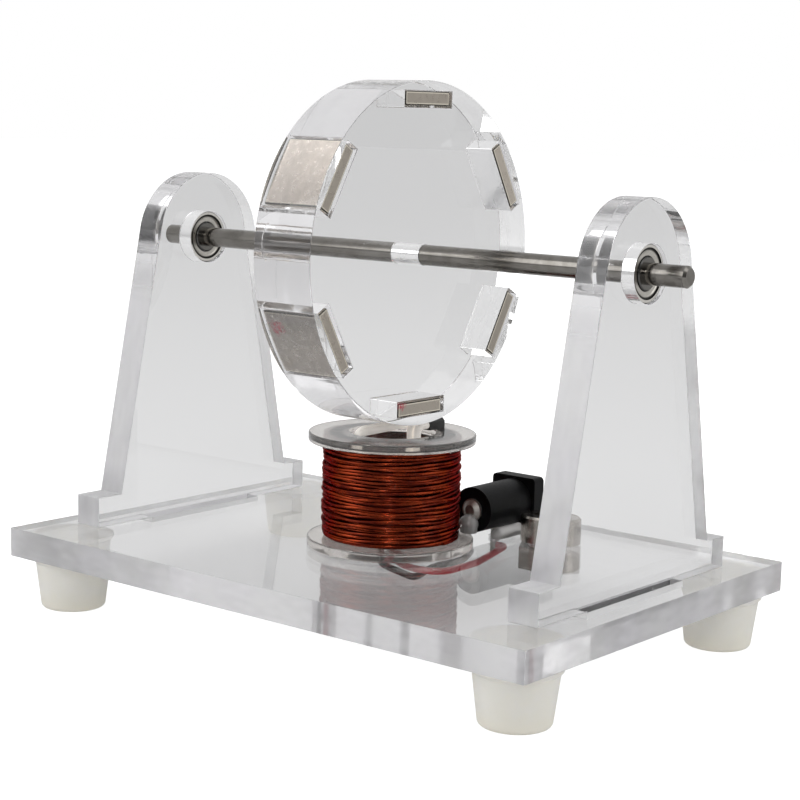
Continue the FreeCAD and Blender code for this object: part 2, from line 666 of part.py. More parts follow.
def winding():
    """The wire as one ring between the flanges, hollow over the coil ends."""
    body = turned("coil_winding", [
        (coreRadius, "Sizes.flangeThick"),
        (windingRadius, "Sizes.flangeThick"),
        (windingRadius, "Sizes.bobbinHeight - Sizes.flangeThick"),
        (coreRadius, "Sizes.bobbinHeight - Sizes.flangeThick"),
    ])
    return place(body, z=plateTop)


def sleeveEnds():
    """Lower ends of the four sensor sleeves inside the bore: the first two at the
    far wall, where the supply leads join, and two below the sensor for the coil."""
    level = number(f"{flangeTop} - Sizes.sleeveDrop")
    reach = number(f"Sizes.boreRadius - {sleeveRadius}") - 0.4
    ends = []
    for degrees in (206, 234):
        angle = math.radians(degrees)
        ends.append(Vector(reach * math.cos(angle), reach * math.sin(angle), level))
    for index in (2, 3):
        x = number("Sizes.sensorX") + (index - 1.5) * number("Sizes.leadPitch")
        ends.append(Vector(x, number("Sizes.sensorY") - 2.2, level))
    return ends


def coilLeads():
    """Both wire ends come through the core, turn up and meet two sensor leads."""
    radius = number("Sizes.coilWireRadius")
    outer = number(coreRadius)
    inner = number("Sizes.boreRadius - 3 * Sizes.coilWireRadius")
    low = number(lowerCoilEnd)
    bend = number("Sizes.coilLeadBend")
    ends = []
    for sign, target in zip((-1, 1), sleeveEnds()[2:]):
        x = sign * number("Sizes.coilEndSpacing / 2")
        points = [
            Vector(x, outer, low), Vector(x, inner, low), Vector(x, inner, target.z - 4),
            Vector(target.x, target.y, target.z - 1.5), target,
        ]
        ends.append(wireSolid("coil_leads", points, radius, bend))
    return shapePiece("coil_leads", Part.makeCompound(ends))


# -------------------------------------------------------------- sensor and leads

def hallSensor():
    """Flat moulded package with bevelled upper edges, lying on the flange."""
    body = newBody("hall_sensor")
    section = sketchOn(body, "XZ_Plane")
    half = "Sizes.sensorWidth / 2"
    bevel = "Sizes.sensorBevel"
    outline(section, [
        (f"-{half}", "0"), (half, "0"),
        (half, f"Sizes.sensorThick - {bevel}"),
        (f"{half} - {bevel}", "Sizes.sensorThick"),
        (f"-{half} + {bevel}", "Sizes.sensorThick"),
        (f"-{half}", f"Sizes.sensorThick - {bevel}"),
    ])
    pad(body, section, "Sizes.sensorLength", backwards=True)
    return place(body, x="Sizes.sensorX", y="Sizes.sensorY", z=flangeTop)


def sensorLeads():
    """Four sleeved leads from the sensor: two cross the bore to the far wall and
    two drop into it at once."""
    front = number("Sizes.sensorY")
    height = number(f"{flangeTop} + Sizes.legRise")
    radius = number(sleeveRadius)
    bend = number("Sizes.sleeveBend")
    leads = []
    for index, end in enumerate(sleeveEnds()):
        x = number("Sizes.sensorX") + (index - 1.5) * number("Sizes.leadPitch")
        points = [Vector(x, front, height)]
        if index < 2:
            points.append(Vector(x, front - 2.6 - 1.3 * index, height))
            points.append(Vector(end.x, end.y, height - 1.0))
        else:
            points.append(Vector(x, end.y, height))
        leads.append(wireSolid("sensor_leads", points + [end], radius, bend))
    return shapePiece("sensor_leads", Part.makeCompound(leads))


# ---------------------------------------------------------------------- socket

def socketHousing():
    """Round barrel with a rounded square flange at the mouth, opening to +Y."""
    body = newBody("socket_housing")
    barrel = sketchOn(body, "XY_Plane")
    circle(barrel, "Sizes.barrelRadius")
    pad(body, barrel, "Sizes.barrelLength")
    flange = sketchOn(body, "XY_Plane", lift="Sizes.barrelLength")
    # local Y is down
    wide, corner = "Sizes.mouthWidth / 2", "Sizes.mouthCorner"
    top, foot = f"{socketRise} - Sizes.mouthHeight", socketRise
    outline(flange, [
        (f"{wide} - {corner}", top),
        (wide, f"{top} + {corner}", corner, "left"),
        (wide, f"{foot} - {corner}"),
        (f"{wide} - {corner}", foot, corner, "left"),
        (f"-{wide} + {corner}", foot),
        (f"-{wide}", f"{foot} - {corner}", corner, "left"),
        (f"-{wide}", f"{top} + {corner}"),
        (f"-{wide} + {corner}", top, corner, "left"),
    ])
    pad(body, flange, "Sizes.mouthThick")
    hole = sketchOn(body, "XY_Plane", lift="Sizes.rearWall")
    circle(hole, "Sizes.plugRadius")
    cut(body, hole, length="Sizes.barrelLength + Sizes.mouthThick", backwards=True)
    rear = sketchOn(body, "XY_Plane")
    circle(rear, "Sizes.pinRadius")
    cut(body, rear, length="Sizes.rearWall", backwards=True)
    # the slot in the barrel's underside that the spring contact leaves by
    slot = sketchOn(body, "XZ_Plane")
    rectangle(slot, "(Sizes.springWidth + 0.1)", "(Sizes.springThick + 0.1)",
              y="(Sizes.springStart + Sizes.springThick / 2)")
    cut(body, slot, length="Sizes.barrelRadius")
    return place(body, x="Sizes.socketX", y=socketRear, z=socketHeight, turn=zUpToY)


def socketPin():
    """Centre pin with a domed tip, riveted over the lug behind the housing."""
    tip = f"({socketLength} - Sizes.pinSetBack)"
    thin = "Sizes.pinRadius"
    lug = "Sizes.lugThick"
    body = turned("socket_center_pin", [
        ("0", f"-{lug} - Sizes.rivetHeight"),
        ("Sizes.rivetRadius * 0.55", f"-{lug} - Sizes.rivetHeight"),
        ("Sizes.rivetRadius", f"-{lug}"),
        (thin, f"-{lug}"),
        (thin, f"{tip} - {thin}"),
        ("0", tip, thin, "left"),
    ])
    return place(body, x="Sizes.socketX", y=socketRear, z=socketHeight, turn=zUpToY)


def socketLug():
    """Round lug under the rivet, with a stepped tail down to the black lead."""
    body = newBody("socket_lug")
    face = sketchOn(body, "XY_Plane")
    circle(face, "Sizes.lugRadius")
    pad(body, face, "Sizes.lugThick", backwards=True)
    # the tail in side view: local Y is down and local Z towards the mouth
    side = sketchOn(body, "YZ_Plane")
    thick = "Sizes.lugThick"
    start = "Sizes.lugRadius * 0.7"
    step = "(Sizes.rivetRadius + Sizes.lugStep + Sizes.lugThick / 2 + Sizes.rivetGap)"
    end = f"({socketRise} - Sizes.flangeThick - Sizes.lugTailGap)"
    outline(side, [
        (start, f"-{thick}"), (start, "0"),
        (f"{step} - Sizes.lugStep", "0"),
        (step, "-Sizes.lugStep"),
        (end, "-Sizes.lugStep"),
        (end, f"-Sizes.lugStep - {thick}"),
        (f"{step} - {thick} / 2", f"-Sizes.lugStep - {thick}"),
        (f"{step} - Sizes.lugStep - {thick} / 2", f"-{thick}"),
    ])
    pad(body, side, "Sizes.lugWidth", bothWays=True)
    hole = sketchOn(body, "XY_Plane")
    circle(hole, "Sizes.pinRadius")
    cut(body, hole, length="Sizes.lugThick")
    return place(body, x="Sizes.socketX", y=socketRear, z=socketHeight, turn=zUpToY)


def socketSpring():
    """Spring contact along the floor of the hole, its tail down through the base."""
    body = newBody("socket_spring_contact")
    side = sketchOn(body, "YZ_Plane")
    thick = "Sizes.springThick"
    flat = "(Sizes.plugRadius - Sizes.springInset)"
    bow = "(Sizes.plugRadius - Sizes.springInset - Sizes.springBow)"
    tip = f"({socketLength} - Sizes.springTip)"
    tail = f"({socketRise} + Sizes.baseThick + Sizes.springDrop)"
    start = "Sizes.springStart"
    outline(side, [
        (flat, start),
        (bow, f"{socketLength} * 0.55"),
        (flat, tip),
        (f"{flat} + {thick}", tip),
        (f"{bow} + {thick}", f"{socketLength} * 0.55"),
        (f"{flat} + {thick}", f"{start} + {thick}"),
        (tail, f"{start} + {thick}"),
        (tail, start),
    ])
    pad(body, side, "Sizes.springWidth", bothWays=True)
    return place(body, x="Sizes.socketX", y=socketRear, z=socketHeight, turn=zUpToY)


def moulded(label, glue, buried):
    """Glue, less what it has set round."""
    core = doc.addObject("Part::Compound", label + "_core")
    core.Links = buried
    piece = doc.addObject("Part::Cut", label)
    piece.Label = label
    piece.Base = glue
    piece.Tool = core
    return piece


def glueDrop(buried):
    """Drop of glue on the bobbin's flange, over the soldered lug."""
    wide = "Sizes.glueRadius"
    drop = turned("glue_drop", [
        ("0", "0"),
        (f"{wide} * 0.85", "0"),
        (wide, f"Sizes.glueHeight - {wide}"),
        ("0", "Sizes.glueHeight", wide, "left"),
    ])
    place(drop, x="Sizes.socketX", y=lugTailY, z=f"{plateTop} + Sizes.flangeThick")
    return moulded("joint_glue", drop, buried)


def glueBead(buried):
    """Round-ended bead of glue that holds the barrel to the base."""
    wide = "Sizes.beadRadius"
    bead = turned("glue_bead", [
        ("0", "0"),
        (wide, wide, wide, "left"),
        (wide, f"Sizes.beadLength - {wide}"),
        ("0", "Sizes.beadLength", wide, "left"),
    ])
    place(bead, x="Sizes.socketX + Sizes.springWidth / 2 + Sizes.beadGap + Sizes.beadRadius",
          y=f"{socketRear} + Sizes.beadStart", z=f"{plateTop} + Sizes.beadRise", turn=zUpToY)
    return moulded("socket_glue", bead, buried)


# --------------------------------------------------------------- screw and nut

def capScrew():
    head = "Sizes.headRadius"
    bevel = "Sizes.headBevel"
    body = turned("cap_screw", [
        ("0", "-Sizes.screwLength"),
        ("Sizes.screwRadius - 0.3", "-Sizes.screwLength"),
        ("Sizes.screwRadius", "-Sizes.screwLength + 0.3"),
        ("Sizes.screwRadius", "0"),
        (head, "0"),
        (head, f"Sizes.headHeight - {bevel}"),
        (f"{head} - {bevel}", "Sizes.headHeight"),
        ("0", "Sizes.headHeight"),
    ])
    key = sketchOn(body, "XY_Plane", lift="Sizes.headHeight")
    hexagon(key, "Sizes.socketFlats")
    cut(body, key, length="Sizes.socketDepth")
    return place(body, x=screwX, y=screwY, z=plateTop)


def hexNut():
    body = newBody("hex_nut")
    face = sketchOn(body, "XY_Plane")
    hexagon(face, "Sizes.nutFlats")
    circle(face, "Sizes.screwRadius")
    pad(body, face, "Sizes.nutHeight")
    return place(body, x=screwX, y=screwY, z=f"{plateUnder} - Sizes.nutHeight")


# ------------------------------------------------------ leads under the plate

def underLeads():
    """Red and black leads from the sleeves, out under the plate and up to the socket.
    The black one starts outside the red one and crosses under it."""
    radius = number("Sizes.leadRadius")
    under = number(f"{plateUnder} - Sizes.leadGap - Sizes.leadRadius")
    dipped = under - number("Sizes.leadCross")
    above = number(f"{plateTop} + 1.5")
    tight, wide = number("Sizes.leadBend"), number("Sizes.leadLoopBend")
    short, flange = number("Sizes.holeBend"), number("Sizes.flangeBend")
    blackEnd, redEnd = sleeveEnds()[:2]
    over = number(f"{plateTop} + Sizes.flangeThick + Sizes.flangeLeadGap + Sizes.leadRadius")
    rise = Vector(number("Sizes.riseX"), number(riseY), under)
    lug = Vector(number("Sizes.socketX - Sizes.lugWidth / 2"), number(lugTailY), over)
    tail = Vector(number("Sizes.socketX + Sizes.springWidth / 2"), number(springTailY), under)
    red = [
        redEnd, redEnd - Vector(0, 0, 4), Vector(0.9, -0.9, above), Vector(0.9, -0.9, under),
        Vector(7.0, -4.6, under), Vector(12.6, -3.6, under), Vector(12.6, 5.0, under),
        tail + Vector(1.5, 0, 0), tail,
    ]
    black = [
        blackEnd, blackEnd - Vector(0, 0, 4), Vector(-0.9, -0.9, above),
        Vector(-0.9, -0.9, under), Vector(3.0, -5.6, under), Vector(7.4, -7.2, under),
        Vector(8.4, -4.4, dipped), Vector(9.4, -1.6, under), Vector(10.2, 4.6, under),
        rise + Vector(4.8, -1.6, 0), rise, Vector(rise.x, rise.y, over),
        lug + Vector(-2.5, 0.6, 0), lug + Vector(-1.2, 0, 0), lug,
    ]
    redBends = [tight, tight, short, wide, wide, wide, tight]
    blackBends = [tight, tight, short, wide, wide, tight, wide, wide, wide]
    blackBends += [short, flange, tight, tight]
    return [shapePiece("red_lead", wireSolid("red_lead", red, radius, redBends)),
            shapePiece("black_lead", wireSolid("black_lead", black, radius, blackBends))]


# ---------------------------------------------------------------- the assembly

def buildAll():
    plate = basePlate()
    pieces = [plate]
    for endName, sideX in (("left", "-1"), ("right", "1")):
        for rowName, sideY in (("front", "-1"), ("back", "1")):
            pieces.append(foot(f"foot_{rowName}_{endName}", sideX, sideY))
    innerFace = f"({outerFace} - Sizes.uprightThick)"
    pieces.append(upright("left_upright", "-" + outerFace))
    pieces.append(upright("right_upright", innerFace))
    pieces += bearing("left", "-" + uprightMiddle)
    pieces += bearing("right", uprightMiddle)
    pieces += [shaft(), rotorDisc()]
    pieces += [magnet(index) for index in range(int(number("Sizes.magnetCount")))]
    pieces += [bobbin(), winding(), coilLeads(), hallSensor(), sensorLeads()]
    socket = [socketHousing(), socketPin(), socketLug(), socketSpring()]
    redLead, blackLead = underLeads()
    pieces += socket + [redLead, blackLead]
    pieces += [glueDrop(socket[:3] + [blackLead]), glueBead([plate, socket[0]])]
    return pieces + [capScrew(), hexNut()]


def checkAndWrite(pieces):
    """Nothing is written unless every object is sound."""
    for item in doc.Objects:
        if {"Invalid", "Error"} & set(item.State):
            raise ValueError(f"{item.Label} failed: {item.State}")
    for piece in pieces:
        if piece.Shape.isNull() or not piece.Shape.isValid() or not piece.Shape.Solids:
            raise ValueError(f"{piece.Label} has no valid solid")
    os.makedirs("parts", exist_ok=True)
    for piece in pieces:
        piece.Shape.exportStep(f"parts/{piece.Label}.step")
        print(f"{piece.Label}: {len(piece.Shape.Solids)} solid, {piece.Shape.Volume:.2f} mm3")


allPieces = buildAll()
doc.recompute()
checkAndWrite(allPieces)
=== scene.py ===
import bpy
import math
import random
from mathutils import Matrix, Vector, noise


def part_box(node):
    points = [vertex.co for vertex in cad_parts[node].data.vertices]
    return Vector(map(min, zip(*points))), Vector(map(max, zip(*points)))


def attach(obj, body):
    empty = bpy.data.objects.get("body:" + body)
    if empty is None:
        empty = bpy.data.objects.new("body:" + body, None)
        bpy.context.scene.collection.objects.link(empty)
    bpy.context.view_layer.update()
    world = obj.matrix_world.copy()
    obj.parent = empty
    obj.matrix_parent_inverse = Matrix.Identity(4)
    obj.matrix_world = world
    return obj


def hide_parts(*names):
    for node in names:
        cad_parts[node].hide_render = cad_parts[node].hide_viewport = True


# demonstration motor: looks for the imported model, all lengths in metres

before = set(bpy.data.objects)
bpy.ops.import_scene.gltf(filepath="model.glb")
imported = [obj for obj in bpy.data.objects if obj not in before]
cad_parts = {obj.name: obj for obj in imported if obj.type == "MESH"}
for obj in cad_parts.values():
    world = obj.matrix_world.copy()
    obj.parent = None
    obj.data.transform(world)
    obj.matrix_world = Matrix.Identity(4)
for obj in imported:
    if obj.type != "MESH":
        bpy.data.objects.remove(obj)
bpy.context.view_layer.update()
bpy.ops.object.select_all(action="DESELECT")
mm = 0.001
upward = (0.0, 0.0, 1.0)
alongShaft = (1.0, 0.0, 0.0)
acrossShaft = (0.0, 1.0, 1.0)  # keeps what lies square to the shaft


# camera

cameraPlan = {
    "lens": 85.38,
    "sensor": 36.0,
    "azimuth": math.radians(38.98),
    "elevation": math.radians(8.61),
    "roll": 0.025,
    "target": Vector((1.264, 0.0, 34.255)) * mm,
    "distance": 279.69 * mm,
    "nearest": 10 * mm,
}


def backwards(azimuth, elevation):  # from the object to a viewer there
    level = math.cos(elevation)
    return Vector((math.sin(azimuth) * level, -math.cos(azimuth) * level, math.sin(elevation)))


def addCamera(plan):
    back = backwards(plan["azimuth"], plan["elevation"])
    right = Vector(upward).cross(back).normalized()
    up = back.cross(right)
    tilt = Matrix.Rotation(plan["roll"], 3, -back)
    turn = Matrix((tilt.transposed() @ right, tilt.transposed() @ up, back)).transposed()
    lens = bpy.data.cameras.new("camera")
    lens.lens = plan["lens"]
    lens.sensor_width = plan["sensor"]
    lens.clip_start = plan["nearest"]
    camera = bpy.data.objects.new("camera", lens)
    bpy.context.scene.collection.objects.link(camera)
    camera.matrix_world = Matrix.Translation(plan["target"] + back * plan["distance"]) @ turn.to_4x4()
    bpy.context.scene.camera = camera


addCamera(cameraPlan)
print("camera")


# shader aids: a Wire is one output socket, and maths on it adds nodes

class Wire:
    def __init__(self, finish, socket):
        self.finish = finish
        self.socket = socket

    def output(self, name):
        return Wire(self.finish, self.socket.node.outputs[name])

    def isVector(self):
        return self.socket.type in ("VECTOR", "RGBA")

    def maths(self, operation, first, second=0.0):
        both = (first, second)
        wide = any(v.isVector() if isinstance(v, Wire) else isinstance(v, tuple) for v in both)
        if wide:
            both = [(v, v, v) if isinstance(v, (int, float)) else v for v in both]
        kind = "VectorMath" if wide else "Math"
        return self.finish.node(kind, {"operation": operation}, {0: both[0], 1: both[1]})

    def __add__(self, other):
        return self.maths("ADD", self, other)

    def __radd__(self, other):
        return self.maths("ADD", other, self)

    def __sub__(self, other):
        return self.maths("SUBTRACT", self, other)

    def __rsub__(self, other):
        return self.maths("SUBTRACT", other, self)

    def __mul__(self, other):
        return self.maths("MULTIPLY", self, other)

    def __rmul__(self, other):
        return self.maths("MULTIPLY", other, self)

    def __abs__(self):
        return self.maths("ABSOLUTE", self)

    def dot(self, other):
        return self.maths("DOT_PRODUCT", self, other).output("Value")

    def length(self):
        return self.maths("LENGTH", self, (0.0, 0.0, 0.0)).output("Value")

    def top(self, other):
        return self.maths("MAXIMUM", self, other)

    def least(self, other):
        return self.maths("MINIMUM", self, other)

    def ramp(self, low, high, start=0.0, end=1.0):  # smooth step from start to end
        return self.finish.node("MapRange", {"interpolation_type": "SMOOTHSTEP"}, {
            "Value": self, "From Min": low, "From Max": high, "To Min": start, "To Max": end})


class Finish:
    def __init__(self, name, world=None):
        self.owner = world or bpy.data.materials.new(name)
        self.owner.use_nodes = True
        self.tree = self.owner.node_tree
        self.tree.nodes.clear()

    def node(self, kind, settings=None, sockets=None):
        made = self.tree.nodes.new("ShaderNode" + kind)
        for name, value in (settings or {}).items():
            if name == "stops":
                self.setStops(made.color_ramp, value)
            else:
                setattr(made, name, value)
        for name, value in (sockets or {}).items():
            if isinstance(value, Wire):
                self.tree.links.new(value.socket, made.inputs[name])
            else:
                made.inputs[name].default_value = value
        shown = [socket for socket in made.outputs if socket.enabled]
        return Wire(self, shown[0]) if shown else None

    def setStops(self, ramp, stops):
        while len(ramp.elements) < len(stops):
            ramp.elements.new(1.0)
        for element, (position, color) in zip(ramp.elements, stops):
            element.position = position
            element.color = color

    def place(self):
        return self.node("TexCoord").output("Object")

    def normal(self):
        return self.node("TexCoord").output("Normal")

    def noise(self, vector, size, detail=3.0, roughness=0.55):  # 0 to 1 about 0.5
        return self.node("TexNoise", {}, {
            "Vector": vector, "Scale": 1.0 / size, "Detail": detail, "Roughness": roughness})

    def mix(self, factor, first, second):
        return self.node("Mix", {"data_type": "RGBA"}, {0: factor, 6: first, 7: second})

    def bump(self, height, distance, strength=1.0, under=None):
        sockets = {"Height": height, "Distance": distance, "Strength": strength}
        if under:
            sockets["Normal"] = under
        return self.node("Bump", {}, sockets)

    def principled(self, **sockets):
        named = {name.replace("_", " "): value for name, value in sockets.items()}
        return self.node("BsdfPrincipled", {}, named)

    def done(self, surface):
        self.node("OutputMaterial", {}, {"Surface": surface})
        return self.owner


def grey(level):
    return (level, level, level, 1.0)


def rgb(red, green, blue):
    return (red, green, blue, 1.0)


def dress(material, *names):
    for name in names:
        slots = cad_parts[name].data.materials
        slots.clear()
        slots.append(material)


# clear acrylic: polished sheet faces, laser-cut edges with striations across the sheet

acrylicPlan = {
    "tint": (0.955, 0.955, 0.96, 1.0),
    "edgeTint": (0.95, 0.945, 0.96, 1.0),
    "indexOfRefraction": 1.49,
    "stripe": 0.5 * mm,
    "stripeDepth": 0.003 * mm,
    "stripeStretch": 0.06,
    "wave": 9 * mm,
    "waveDepth": 0.007 * mm,
    "waveStrength": 0.5,
    "haze": 2.5 * mm,
    "hazeRough": 0.02,
    "patch": 6 * mm,
    "patchRough": 0.06,
}

frostPlan = {
    "baseShare": (0.5, 0.75),  # milky share of a cut edge, in its clearest and whitest spots
    "uprightShare": (0.66, 0.78),
    "discShare": (0.0, 0.1),
    "color": (0.90, 0.89, 0.92, 1.0),
    "paleColor": grey(0.95),
    "rough": 0.38,
    "spread": 0.1,
    "clearness": 0.7,
    "spot": 4 * mm,
    "spotStretch": 0.35,
    "polishedBelowShaft": 6 * mm,  # the round top is nearly clear
    "polishedShare": 0.1,
    "polishedRun": 4 * mm,
    "footShare": 1.3,  # and the foot is whiter, up to a height above the base
    "footTop": 5 * mm,
    "footRun": 3 * mm,
}

slotShadePlan = {  # painted shade on a tenon's outer wall, in a band below the base's top, for the shaded air gap in its slot
    "color": grey(0.02),
    "paleColor": grey(0.2),
    "rough": 0.5,
    "grain": 0.8 * mm,
    "stretch": (1.0, 0.25, 1.0),
    "cover": (0.5, 1.0),
    "top": 0.2 * mm,
    "bottom": 1.6 * mm,
    "run": 0.2 * mm,
}


def frostOn(m, place, axis, frostShare, height, polishedFrom, seatTop):
    plan = frostPlan
    drawn = tuple(1.0 if part else plan["spotStretch"] for part in axis)
    low, high = frostShare
    share = m.noise(place * drawn, plan["spot"], 2.0).ramp(0.35, 0.65, low, high)
    if polishedFrom:
        share = share * height.ramp(
            polishedFrom - plan["polishedRun"], polishedFrom, 1.0, plan["polishedShare"])
    if seatTop:
        footTop = seatTop + plan["footTop"]
        share = share * height.ramp(footTop, footTop + plan["footRun"], plan["footShare"], 1.0)
    return share


def slotShadeOver(m, place, axis, height, seatTop, surface):
    plan = slotShadePlan
    smear = m.noise(place * plan["stretch"], plan["grain"], 4.0, 0.7)
    # painted shade: a near-black streaky surface for the shaded gap between tenon and slot
    slotShade = m.principled(Base_Color=m.mix(smear, plan["color"], plan["paleColor"]), Roughness=plan["rough"])
    top = seatTop - plan["top"]
    bottom = seatTop - plan["bottom"]
    below = height.ramp(top - plan["run"], top, 1.0, 0.0)
    above = height.ramp(bottom - plan["run"], bottom, 0.0, 1.0)
    outside = m.normal().dot(axis).ramp(0.6, 0.9)
    cover = smear.ramp(0.34, 0.46, *plan["cover"]) * below * above * outside
    return m.node("MixShader", {}, {0: cover, 1: surface, 2: slotShade})


def acrylic(name, axis, frostShare, polishedFrom=None, seatTop=None):
    # axis is square to the sheet. Its cut edges are nearly clear above polishedFrom, and the
    # wall of a tenon gets painted shade just below seatTop, the top of what it sits in
    plan = acrylicPlan
    m = Finish(name)
    place = m.place()
    height = place.dot(upward)
    edge = 1 - abs(m.normal().dot(axis)).ramp(0.9, 0.97)
    stretch = tuple(plan["stripeStretch"] if part else 1.0 for part in axis)
    stripes = m.noise(place * stretch, plan["stripe"], 2.0, 0.5)
    patches = m.noise(place, plan["patch"], 2.0).ramp(0.35, 0.70)
    wave = m.noise(place, plan["wave"], 1.0)
    cut = m.bump(stripes * edge, plan["stripeDepth"])
    relief = m.bump(wave, plan["waveDepth"], plan["waveStrength"], cut)
    haze = m.noise(place, plan["haze"], 4.0).ramp(0.45, 0.75, 0.0, plan["hazeRough"])
    clear = m.principled(
        Base_Color=m.mix(edge, plan["tint"], plan["edgeTint"]),
        Roughness=haze + edge * patches * plan["patchRough"], Transmission_Weight=1.0,
        IOR=plan["indexOfRefraction"], Normal=relief)
    milk = m.principled(
        Base_Color=m.mix(patches, frostPlan["color"], frostPlan["paleColor"]),
        Roughness=patches * frostPlan["spread"] + frostPlan["rough"],
        Transmission_Weight=frostPlan["clearness"], IOR=plan["indexOfRefraction"], Normal=relief)
    share = frostOn(m, place, axis, frostShare, height, polishedFrom, seatTop) * edge
    surface = m.node("MixShader", {}, {0: share, 1: clear, 2: milk})
    if seatTop:
        surface = slotShadeOver(m, place, axis, height, seatTop, surface)
    return m.done(surface)


clearPlan = {
    "film": 0.02 * mm,
    "edge": 0.12 * mm,
    "edgeSteps": 2,
    "mergeWithin": 0.002 * mm,
    "flatWithin": math.radians(0.4),
    "sharpAbove": math.radians(30),
    "smoothBelow": math.radians(50),
}


def clearCopy(name, body, material):
    # a clear piece with eased edges, a film of air away from what touches it
    plan = clearPlan
    bpy.ops.object.select_all(action="DESELECT")
    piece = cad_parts[name].copy()
    piece.data = piece.data.copy()
    piece.name = piece.data.name = name + "_clear"
    bpy.context.scene.collection.objects.link(piece)
    piece.select_set(True)
    bpy.context.view_layer.objects.active = piece
    bpy.ops.object.mode_set(mode="EDIT")
    bpy.ops.mesh.select_all(action="SELECT")
    bpy.ops.mesh.customdata_custom_splitnormals_clear()
    bpy.ops.mesh.remove_doubles(threshold=plan["mergeWithin"])
    bpy.ops.mesh.normals_make_consistent(inside=False)
    bpy.ops.transform.shrink_fatten(value=-plan["film"], use_even_offset=True)
    bpy.ops.mesh.dissolve_limited(angle_limit=plan["flatWithin"])
    bpy.ops.object.mode_set(mode="OBJECT")
    bpy.ops.object.modifier_add(type="BEVEL")
    bevel = piece.modifiers[-1]
    bevel.width = plan["edge"]
    bevel.segments = plan["edgeSteps"]
    bevel.limit_method = "ANGLE"
    bevel.angle_limit = plan["sharpAbove"]
    bpy.ops.object.modifier_apply(modifier=bevel.name)
    bpy.ops.object.shade_smooth_by_angle(angle=plan["smoothBelow"])
    bpy.ops.object.modifier_add(type="WEIGHTED_NORMAL")
    weighted = piece.modifiers[-1]
    weighted.keep_sharp = True
    bpy.ops.object.modifier_apply(modifier=weighted.name)
    piece.data.materials.clear()
    piece.data.materials.append(material)
    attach(piece, body)
    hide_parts(name)


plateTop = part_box("base_plate")[1].z
shaftHeight = sum(corner.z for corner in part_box("shaft")) / 2
polishedFrom = shaftHeight - frostPlan["polishedBelowShaft"]
leftAcrylic = ("leftUprightAcrylic", alongShaft, frostPlan["uprightShare"], polishedFrom)
rightAcrylic = ("rightUprightAcrylic", alongShaft, frostPlan["uprightShare"], polishedFrom, plateTop)
clearCopy("base_plate", "root", acrylic("sheetAcrylic", upward, frostPlan["baseShare"]))
clearCopy("left_upright", "root", acrylic(*leftAcrylic))
clearCopy("right_upright", "root", acrylic(*rightAcrylic))
clearCopy("rotor_disc", "rotor", acrylic("discAcrylic", alongShaft, frostPlan["discShare"]))
print("acrylic")


# silicone feet

siliconePlan = {
    "color": rgb(0.99, 0.96, 0.89),
    "cloud": rgb(0.97, 0.94, 0.865),
    "cloudSize": 3 * mm,
    # painted light: a warmer, lighter tint at the foot's bottom for light glowing up through the silicone
    "sole": rgb(1.0, 0.94, 0.82),
    "soleHeight": 3.5 * mm,
    "grain": 0.4 * mm,
    "grainDepth": 0.03 * mm,
    "rough": (0.3, 0.45),
    "scatter": 2.5 * mm,
    "scatterShare": 0.6,
    "scatterRadius": (1.0, 0.95, 0.85),
    "clearness": 0.3,
    "indexOfRefraction": 1.41,
}


def silicone():
    plan = siliconePlan
    m = Finish("silicone")
    place = m.place()
    cloud = m.noise(place, plan["cloudSize"], 3.0)
    grain = m.noise(place, plan["grain"], 2.0)
    body = m.mix(cloud.ramp(0.35, 0.65), plan["color"], plan["cloud"])
    # painted light: the glow tint at the bottom fades out upwards
    low = place.dot(upward).ramp(0.0, plan["soleHeight"], 1.0, 0.0)
    return m.done(m.principled(
        Base_Color=m.mix(low, body, plan["sole"]), Roughness=grain.ramp(0.3, 0.7, *plan["rough"]),
        Subsurface_Weight=plan["scatterShare"], Subsurface_Scale=plan["scatter"],
        Subsurface_Radius=plan["scatterRadius"], Transmission_Weight=plan["clearness"],
        IOR=plan["indexOfRefraction"], Normal=m.bump(grain, plan["grainDepth"], 0.6)))


dress(silicone(), *[f"foot_{row}_{side}" for row in ("front", "back") for side in ("left", "right")])


# metals

groundPlan = {  # marks of grinding, and patches of another tone
    "grain": 0.12 * mm,
    "depth": 0.002 * mm,
    "patch": 1.6 * mm,
}

metalPlan = {
    "cageSteel": {"color": grey(0.34), "dark": grey(0.25), "rough": 0.34, "spread": 0.16},
    "ballSteel": {"color": grey(0.7), "dark": grey(0.62), "rough": 0.12, "spread": 0.06},
    "shaftSteel": {
        "color": rgb(0.215, 0.205, 0.19), "dark": rgb(0.175, 0.165, 0.15),
        "rough": 0.15, "spread": 0.1, "stretch": (1.0, 0.08, 0.08)},
    "brightNickel": {
        "color": rgb(0.44, 0.41, 0.38), "dark": rgb(0.33, 0.31, 0.28), "rough": 0.2, "spread": 0.12},
    "dullNickel": {
        "color": rgb(0.50, 0.48, 0.45), "dark": rgb(0.36, 0.34, 0.31), "rough": 0.48, "spread": 0.14},
}

ringPlan = {
    "outerFace": rgb(0.66, 0.64, 0.60),
    # painted shade: the walls, and the faces of the inner ring, are darkened for the shade in the
    # bearing's gaps
    "outerWallShade": grey(0.10),
    "innerFace": rgb(0.16, 0.155, 0.145),
    "innerWallShade": grey(0.06),
    "rough": 0.16,
    "spread": 0.12,
}

shieldPlan = {
    "color": rgb(0.62, 0.60, 0.56),
    "dark": rgb(0.40, 0.38, 0.34),
    "shade": rgb(0.02, 0.019, 0.017),
    "boreShade": (0.6, 0.67),  # where the shade fades, in shares of the shield's radius
    "rimShade": (0.86, 0.93),
    "streak": 0.5 * mm,
    "depth": 0.004 * mm,
    "rough": 0.22,
    "spread": 0.15,
}


